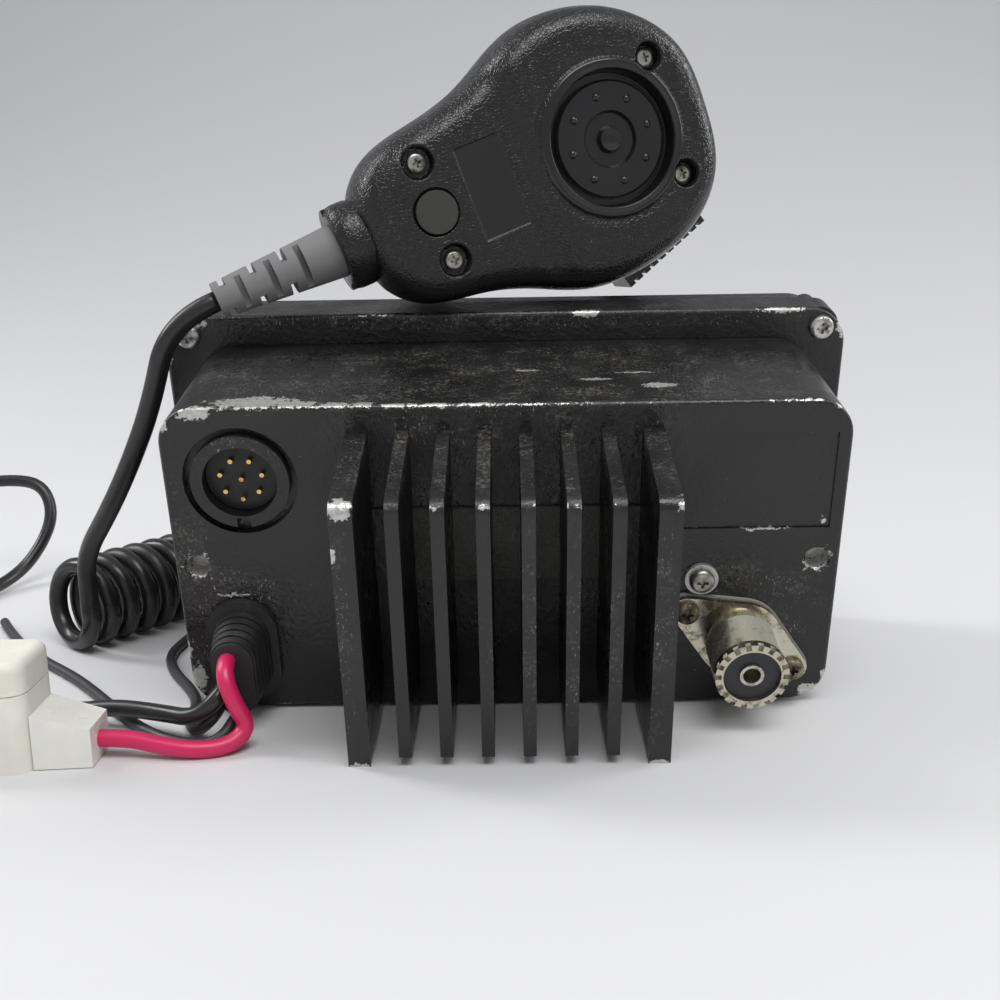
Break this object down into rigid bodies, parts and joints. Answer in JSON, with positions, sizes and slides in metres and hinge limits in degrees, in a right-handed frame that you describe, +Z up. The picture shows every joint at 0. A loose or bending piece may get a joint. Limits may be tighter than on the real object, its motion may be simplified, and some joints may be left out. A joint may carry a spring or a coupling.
{
  "type": "vhf marine radio",
  "caption": "Fixed marine radio, tilted on its front panel and finned black casting, with hand microphone on top, curly cord, power leads and in-line fuse holder",
  "frame": {"origin": "on the table, under the middle of the radio and its microphone, the cords and the fuse holder left out", "axes": "+Z up, +X to the right and +Y away from someone facing the finned rear; the radio leans back 12.5 degrees about X"},
  "size_m": [0.2509, 0.1952, 0.1598],
  "materials": {
    "casting_paint": "textured",
    "front_plastic": "matte",
    "seal": "matte",
    "screw_steel": "satin",
    "clear_window": "gloss",
    "display": "gloss",
    "circuit": "satin",
    "module_black": "satin",
    "control_metal": "satin",
    "knob_plastic": "satin",
    "key_rubber": "matte",
    "distress_red": "gloss",
    "cover_red": "gloss",
    "cord_rubber": "matte",
    "socket_plastic": "satin",
    "gold_pins": "satin",
    "seal_white": "matte",
    "socket_metal": "worn",
    "insulator": "satin",
    "antenna_screw": "worn",
    "washer_brass": "worn",
    "ground_brass": "worn",
    "boot_rubber": "matte",
    "red_jacket": "satin",
    "black_jacket": "satin",
    "grey_jacket": "satin",
    "fuse_white": "satin",
    "sleeve_clear": "gloss",
    "fuse_inside": "gloss",
    "mic_plastic": "grained",
    "disc_plastic": "gloss",
    "talk_plastic": "matte",
    "relief_rubber": "matte",
    "cord_jacket": "satin"
  },
  "bodies": {
    "radio": {"chassis_casting": "casting_paint", "front_frame": "front_plastic", "panel_gasket": "seal", "front_bezel": "front_plastic", "panel_screws": "screw_steel", "lcd_lens": "clear_window", "lcd_module": "display", "display_board": "circuit", "main_board": "circuit", "power_module": "module_black", "speaker": "module_black", "channel_control": "control_metal", "volume_control": "control_metal", "squelch_control": "control_metal", "distress_cover_pin": "screw_steel", "cord_gland": "cord_rubber", "accessory_socket_collar": "socket_plastic", "accessory_socket_insert": "socket_plastic", "accessory_socket_pins": "gold_pins", "antenna_gasket": "seal_white", "antenna_socket_shell": "socket_metal", "antenna_insulator": "insulator", "antenna_contact": "gold_pins", "antenna_screws": "antenna_screw", "ground_washer": "washer_brass", "ground_screw": "ground_brass", "power_boot": "boot_rubber", "red_lead": "red_jacket", "red_lead_end": "red_jacket", "black_lead": "black_jacket", "accessory_lead_long": "grey_jacket", "accessory_lead_short": "grey_jacket", "fuse_holder_body": "fuse_white", "fuse_holder_lid": "fuse_white", "fuse_sleeve": "sleeve_clear", "blade_fuse": "fuse_inside", "mic_cord_lead": "cord_jacket", "mic_cord_coil": "cord_jacket", "mic_cord_tail": "cord_jacket"},
    "mic": {"mic_rear_shell": "mic_plastic", "mic_front_shell": "mic_plastic", "mic_round_disc": "disc_plastic", "mic_plug": "disc_plastic", "mic_screws": "screw_steel", "mic_board": "circuit", "mic_capsule": "control_metal", "mic_strain_relief": "relief_rubber"},
    "talk": {"talk_bar": "talk_plastic"},
    "mic_up": {"mic_up_key": "key_rubber"},
    "mic_down": {"mic_down_key": "key_rubber"},
    "channel": {"channel_knob": "knob_plastic"},
    "volume": {"volume_knob": "knob_plastic"},
    "squelch": {"squelch_knob": "knob_plastic"},
    "key_1": {"face_key_1": "key_rubber"},
    "key_2": {"face_key_2": "key_rubber"},
    "key_3": {"face_key_3": "key_rubber"},
    "key_4": {"face_key_4": "key_rubber"},
    "distress": {"distress_key": "distress_red"},
    "cover": {"distress_cover": "cover_red"}
  },
  "joints": [
    {"name": "mic_lift", "type": "slide", "parent": "radio", "child": "mic", "axis": [0, 0, 1], "range_m": [0, 0.04]},
    {"name": "talk_press", "type": "slide", "parent": "mic", "child": "talk", "axis": [-0.6031, -0.1752, 0.7782], "range_m": [0, 0.002], "stiffness_N_per_m": 800},
    {"name": "mic_up_press", "type": "slide", "parent": "mic", "child": "mic_up", "axis": [0.2988, -0.9542, 0.0167], "range_m": [0, 0.0007], "stiffness_N_per_m": 900},
    {"name": "mic_down_press", "type": "slide", "parent": "mic", "child": "mic_down", "axis": [0.2988, -0.9542, 0.0167], "range_m": [0, 0.0007], "stiffness_N_per_m": 900},
    {"name": "channel_turn", "type": "hinge", "parent": "radio", "child": "channel", "pos_m": [-0.055, 0.03482, 0.06749], "axis": [0, 0.9764, 0.2159], "continuous": true},
    {"name": "volume_turn", "type": "hinge", "parent": "radio", "child": "volume", "pos_m": [-0.066, 0.04151, 0.03722], "axis": [0, 0.9764, 0.2159], "range_deg": [-150, 150]},
    {"name": "squelch_turn", "type": "hinge", "parent": "radio", "child": "squelch", "pos_m": [-0.044, 0.04151, 0.03722], "axis": [0, 0.9764, 0.2159], "range_deg": [-150, 150]},
    {"name": "key_1_press", "type": "slide", "parent": "radio", "child": "key_1", "axis": [0, -0.9764, -0.2159], "range_m": [0, 0.0008], "stiffness_N_per_m": 900},
    {"name": "key_2_press", "type": "slide", "parent": "radio", "child": "key_2", "axis": [0, -0.9764, -0.2159], "range_m": [0, 0.0008], "stiffness_N_per_m": 900},
    {"name": "key_3_press", "type": "slide", "parent": "radio", "child": "key_3", "axis": [0, -0.9764, -0.2159], "range_m": [0, 0.0008], "stiffness_N_per_m": 900},
    {"name": "key_4_press", "type": "slide", "parent": "radio", "child": "key_4", "axis": [0, -0.9764, -0.2159], "range_m": [0, 0.0008], "stiffness_N_per_m": 900},
    {"name": "distress_press", "type": "slide", "parent": "radio", "child": "distress", "axis": [0, -0.9764, -0.2159], "range_m": [0, 0.0008], "stiffness_N_per_m": 900},
    {"name": "cover_lift", "type": "hinge", "parent": "radio", "child": "cover", "pos_m": [0.004, 0.04714, 0.0229], "axis": [1, 0, 0], "range_deg": [0, 110], "stiffness_Nm_per_rad": 0.02}
  ]
}
